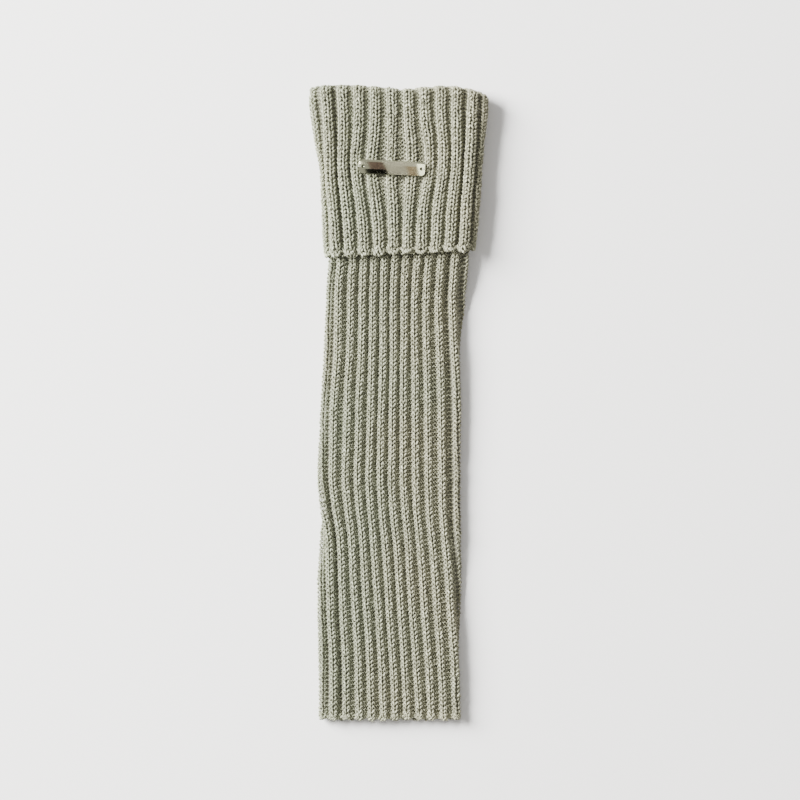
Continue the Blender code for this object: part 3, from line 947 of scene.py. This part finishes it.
LEG_FACE = Face(
    section=leg_up,
    pitch=leg_pitch,
    profile=LEG_RIB,
    nominal=LEG_RIB_PITCH,
    shift=0.0,
    half_count=6,
    settle=hem_settles,
    edge=HEM_Y,
    course=LEG_COURSE,
    reach=LEG_LOOP_REACH,
    lean=LEG_LOOP_LEAN,
    yarn=LEG_YARN,
    heads=-1,
)
CUFF_FACE = Face(
    section=cuff_and_fold,
    pitch=up_the_cuff,
    profile=CUFF_RIB,
    nominal=CUFF_RIB_PITCH,
    shift=CUFF_RIB_SHIFT,
    half_count=5,
    settle=cuff_settles,
    edge=0.0,
    course=CUFF_COURSE,
    reach=CUFF_LOOP_REACH,
    lean=CUFF_LOOP_LEAN,
    yarn=CUFF_YARN,
    heads=1,
)


def course_piece(name, yarn, face, rows, last=LAST_RIB):
    tubes = Tubes()
    courses(tubes, face, rows, last)
    return tubes.made(name, yarn)


def make_knit(yarn, core):
    """The wall of the knit, and the pieces of yarn that lie over it."""
    base = knit_base(core)
    pieces = []
    rows = np.arange(LEG_FIRST_COURSE, HEM_Y + 3.0, -LEG_COURSE)
    third = -(-len(rows) // 3)
    for n, name in enumerate(("leg_yarn_top", "leg_yarn_middle", "leg_yarn_hem")):
        pieces.append(course_piece(name, yarn, LEG_FACE, rows[n * third : (n + 1) * third]))
    edges = Tubes()
    courses(edges, LEG_FACE, rows[-1:], FIRST_RIB + RIBS_ROUND, -2)
    for start in (0, pi):
        edge_strand(edges, LEG_FACE, start=start, **HEM_STRAND)
        edge_strand(edges, CUFF_FACE, start=start, **CUFF_STRAND)
    pieces.append(edges.made("edge_cords", yarn))
    rows = np.arange(CUFF_FIRST_COURSE, CUFF_RUN, CUFF_COURSE)
    pieces.append(course_piece("cuff_yarn", yarn, CUFF_FACE, rows))
    rows = np.arange(rows[-1] + CUFF_COURSE, CUFF_RUN + FOLD_ARC + 3, CUFF_COURSE)
    pieces.append(course_piece("fold_yarn", yarn, CUFF_FACE, rows, FIRST_RIB + RIBS_ROUND))
    fibres = Tubes()
    loose_fibres(fibres, LEG_FACE, FIBRES * 2 // 3, HEM_Y + 1, CUFF_EDGE_Y - 0.2)
    loose_fibres(fibres, CUFF_FACE, FIBRES // 3, 1.0, CUFF_RUN + FOLD_ARC * 0.6)
    pieces.append(fibres.made("loose_fibres", yarn))
    pieces.append(sewing(yarn))
    return base, pieces


def loose_fibres(tubes, face, count, low, high):
    """Short hairs that stand off the yarn."""
    along = rng.uniform(low, high, (count, 1))
    place = rng.uniform(FIRST_RIB, LAST_RIB, (count, 1)) + face.shift
    across, height = on_rib(face, along, place)
    base, out, pressed = face.section(along, across)
    height = face.settle(along, height) - pressed * PRESSED_FURTHER + face.yarn
    start = base + out * (showing(out[..., 2]) * height)[..., None]
    lean = rng.normal(0, 1, (count, 1, 3)) + out * FIBRE_LIFT
    lean /= np.linalg.norm(lean, axis=2, keepdims=True)
    curl = rng.normal(0, FIBRE_CURL, (count, 1, 3))
    length = rng.uniform(*FIBRE_LENGTHS, (count, 1, 1))
    way = np.linspace(0, 1, FIBRE_POINTS)[None, :, None]
    hair = start + lean * length * way + curl * length * way * way
    hair[..., 2] = np.maximum(hair[..., 2], 0.1)
    across_hair = np.broadcast_to(rng.normal(0, 1, (count, 1, 3)), hair.shape)
    tubes.add(hair, across_hair, FIBRE * (1 - FIBRE_TAPER * way[..., 0]), LOOSE_HEIGHT, sides=3)


def on_plate(x, y, z):
    """Points of the plate, from its own length, width and the height over its underside, as it lies."""
    turn = radians(PLATE_TURN)
    turned_x = PLATE_X + x * cos(turn) - y * sin(turn)
    turned_y = PLATE_Y + x * sin(turn) + y * cos(turn)
    return stacked(turned_x, turned_y, PLATE_BOTTOM + z)


def sewing(thread):
    """Two turns of thread at each end, up through the hole and down over the plate's end."""
    tubes = Tubes()
    hole, end = PLATE_HOLE_SPACING / 2, PLATE_LENGTH / 2
    top = PLATE_THICKNESS + THREAD
    rim = end - hole
    route = np.array(
        (
            (0.45, -1.2),
            (0.6, 0.2),
            (0.75, top - 0.25),
            (1.1, top),
            (1.7, top),
            (2.3, top - 0.1),
            (rim + 0.25, top - 0.45),
            (rim + 0.4, 0.2),
            (rim + 0.3, -1.4),
        )
    )
    fine = np.linspace(0, len(route) - 1, THREAD_POINTS)
    reach = np.interp(fine, np.arange(len(route)), route[:, 0])
    height = np.interp(fine, np.arange(len(route)), route[:, 1])
    for side in (-1, 1):
        for n in (-1, 1):
            spread = n * THREAD * (1.0 + 0.3 * np.sin(pi * np.linspace(0, 1, THREAD_POINTS)))
            centre = on_plate(side * (hole + reach), spread, height)[None]
            out = np.broadcast_to(np.array((0.0, 1.0, 0.0)), centre.shape)
            tubes.add(centre, out, THREAD, LOOSE_HEIGHT, sides=6)
    return tubes.made("sewing_thread", thread)


def round_cornered(length, width, corner, steps):
    outline = []
    for quarter, (side_x, side_y) in enumerate(((1, 1), (-1, 1), (-1, -1), (1, -1))):
        for n in range(steps + 1):
            turn = (quarter + n / steps) * pi / 2
            x = side_x * (length / 2 - corner) + corner * cos(turn)
            outline.append((x, side_y * (width / 2 - corner) + corner * sin(turn)))
    return outline


def make_plate(steel):
    """The bare plate, its edges and the rims of its holes rounded over."""
    curve = bpy.data.curves.new("plate_outline", "CURVE")
    curve.dimensions = "2D"
    curve.fill_mode = "BOTH"
    curve.extrude = PLATE_THICKNESS / 2 * MM
    loops = [round_cornered(PLATE_LENGTH, PLATE_WIDTH, PLATE_CORNER, CORNER_STEPS)]
    for side in (-1, 1):
        turns = [2 * pi * n / HOLE_SIDES for n in range(HOLE_SIDES)]
        centre = side * PLATE_HOLE_SPACING / 2
        loops.append([(centre + PLATE_HOLE_RADIUS * cos(t), PLATE_HOLE_RADIUS * sin(t)) for t in turns])
    for points in loops:
        spline = curve.splines.new("POLY")
        spline.points.add(len(points) - 1)
        for point, (x, y) in zip(spline.points, points):
            point.co = (x * MM, y * MM, 0, 1)
        spline.use_cyclic_u = True
    outline = bpy.data.objects.new("plate_outline", curve)
    bpy.context.scene.collection.objects.link(outline)
    bpy.context.view_layer.update()
    settled = outline.evaluated_get(bpy.context.evaluated_depsgraph_get())
    mesh = bpy.data.meshes.new_from_object(settled)
    bpy.data.objects.remove(outline)
    mesh.name = "bare_plate"
    mesh.materials.clear()
    mesh.materials.append(steel)
    plate = bpy.data.objects.new("bare_plate", mesh)
    bpy.context.scene.collection.objects.link(plate)
    plate.location = Vector((PLATE_X, PLATE_Y, PLATE_BOTTOM + PLATE_THICKNESS / 2)) * MM
    plate.rotation_euler.z = radians(PLATE_TURN)
    weld = plate.modifiers.new("join_caps", "WELD")
    weld.merge_threshold = 0.00001
    ease = plate.modifiers.new("ease_edges", "BEVEL")
    ease.width = PLATE_EASE * MM
    ease.segments = 4
    ease.limit_method = "ANGLE"
    ease.angle_limit = radians(50)
    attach(plate, "root")
    return plate


def soft_light(name, place, size, power, colour):
    """A rectangular lamp that faces the garment."""
    light = bpy.data.lights.new(name, "AREA")
    light.shape = "RECTANGLE"
    light.size, light.size_y = size
    light.energy = power
    light.color = colour
    obj = bpy.data.objects.new(name, light)
    obj.location = place
    obj.rotation_euler = (-Vector(place)).to_track_quat("-Z", "Y").to_euler()
    bpy.context.scene.collection.objects.link(obj)


Card = namedtuple("Card", "name left right low high colour glow")


def reflected_card(card):
    """A studio card over the camera, placed by the part of the polished plate that shows it."""
    left, right = (CARD_START[0] + CARD_PER_PLATE[0] * x for x in (card.left, card.right))
    low, high = (CARD_START[1] + CARD_PER_PLATE[1] * y for y in (card.low, card.high))
    corners = ((left, low), (right, low), (right, high), (left, high))
    mesh = bpy.data.meshes.new(card.name)
    mesh.from_pydata([(x, y, CARD_HEIGHT) for x, y in corners], [], [(0, 1, 2, 3)])
    material, nodes, _ = add_material(card.name)
    shader = nodes["Principled BSDF"]
    shader.inputs["Base Color"].default_value = (*card.colour, 1)
    shader.inputs["Roughness"].default_value = 0.9
    shader.inputs["Specular IOR Level"].default_value = 0.0
    shader.inputs["Emission Color"].default_value = (*card.colour, 1)
    shader.inputs["Emission Strength"].default_value = card.glow
    mesh.materials.append(material)
    obj = bpy.data.objects.new(card.name, mesh)
    bpy.context.scene.collection.objects.link(obj)


def make_studio(material):
    """The floor, the room's even light, the cards and the key light."""
    corners = np.array(((-1, -1, 0), (1, -1, 0), (1, 1, 0), (-1, 1, 0)), float) * FLOOR_REACH
    mesh = bpy.data.meshes.new("floor")
    mesh.from_pydata([tuple(c) for c in corners], [], [(0, 1, 2, 3)])
    mesh.materials.append(material)
    floor = bpy.data.objects.new("floor", mesh)
    bpy.context.scene.collection.objects.link(floor)
    world = bpy.data.worlds.new("soft_room")
    world.use_nodes = True
    backdrop = world.node_tree.nodes["Background"]
    backdrop.inputs["Color"].default_value = (*ROOM_COLOUR, 1)
    backdrop.inputs["Strength"].default_value = ROOM_LIGHT
    bpy.context.scene.world = world
    for card in (
        Card("brown_card", -16.0, -4.0, -1.0, 4.0, (0.05, 0.035, 0.035), 0.0),
        Card("black_card", -19.0, -4.0, -5.0, -1.0, (0.002, 0.002, 0.002), 0.0),
        Card("grey_card", -4.0, 10.0, -5.0, 2.0, (0.17, 0.16, 0.16), 0.0),
        Card("pale_grey_card", -4.0, 19.0, 2.0, 5.0, (0.2, 0.19, 0.19), 0.0),
        Card("tan_card", 10.0, 19.0, -5.0, 2.0, (0.13, 0.1, 0.08), 0.0),
        Card("white_card", 19.0, 25.0, -5.0, 4.0, (0.9, 0.9, 0.85), 0.6),
        Card("lamp_card", -23.0, -21.0, 2.0, 4.0, (1.0, 0.98, 0.92), 8.0),
    ):
        reflected_card(card)
    soft_light("key", KEY_PLACE, KEY_SIZE, KEY_POWER, KEY_COLOUR)
    return floor


def make_camera():
    camera = bpy.data.cameras.new("camera")
    camera.sensor_width = 36.0
    camera.lens = camera.sensor_width * (CAMERA_PLACE[2] - FRONT_HEIGHT) / PICTURE_WIDTH
    camera.clip_end = 50.0
    obj = bpy.data.objects.new("camera", camera)
    obj.location = CAMERA_PLACE
    bpy.context.scene.collection.objects.link(obj)
    bpy.context.scene.camera = obj


def main():
    yarn = marl_yarn()
    core = core_material()
    floor = make_studio(floor_material())
    make_camera()
    base, strands = make_knit(yarn, core)
    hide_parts("knitted_leg")
    plate = make_plate(polished_steel())
    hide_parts("metal_plate")


main()
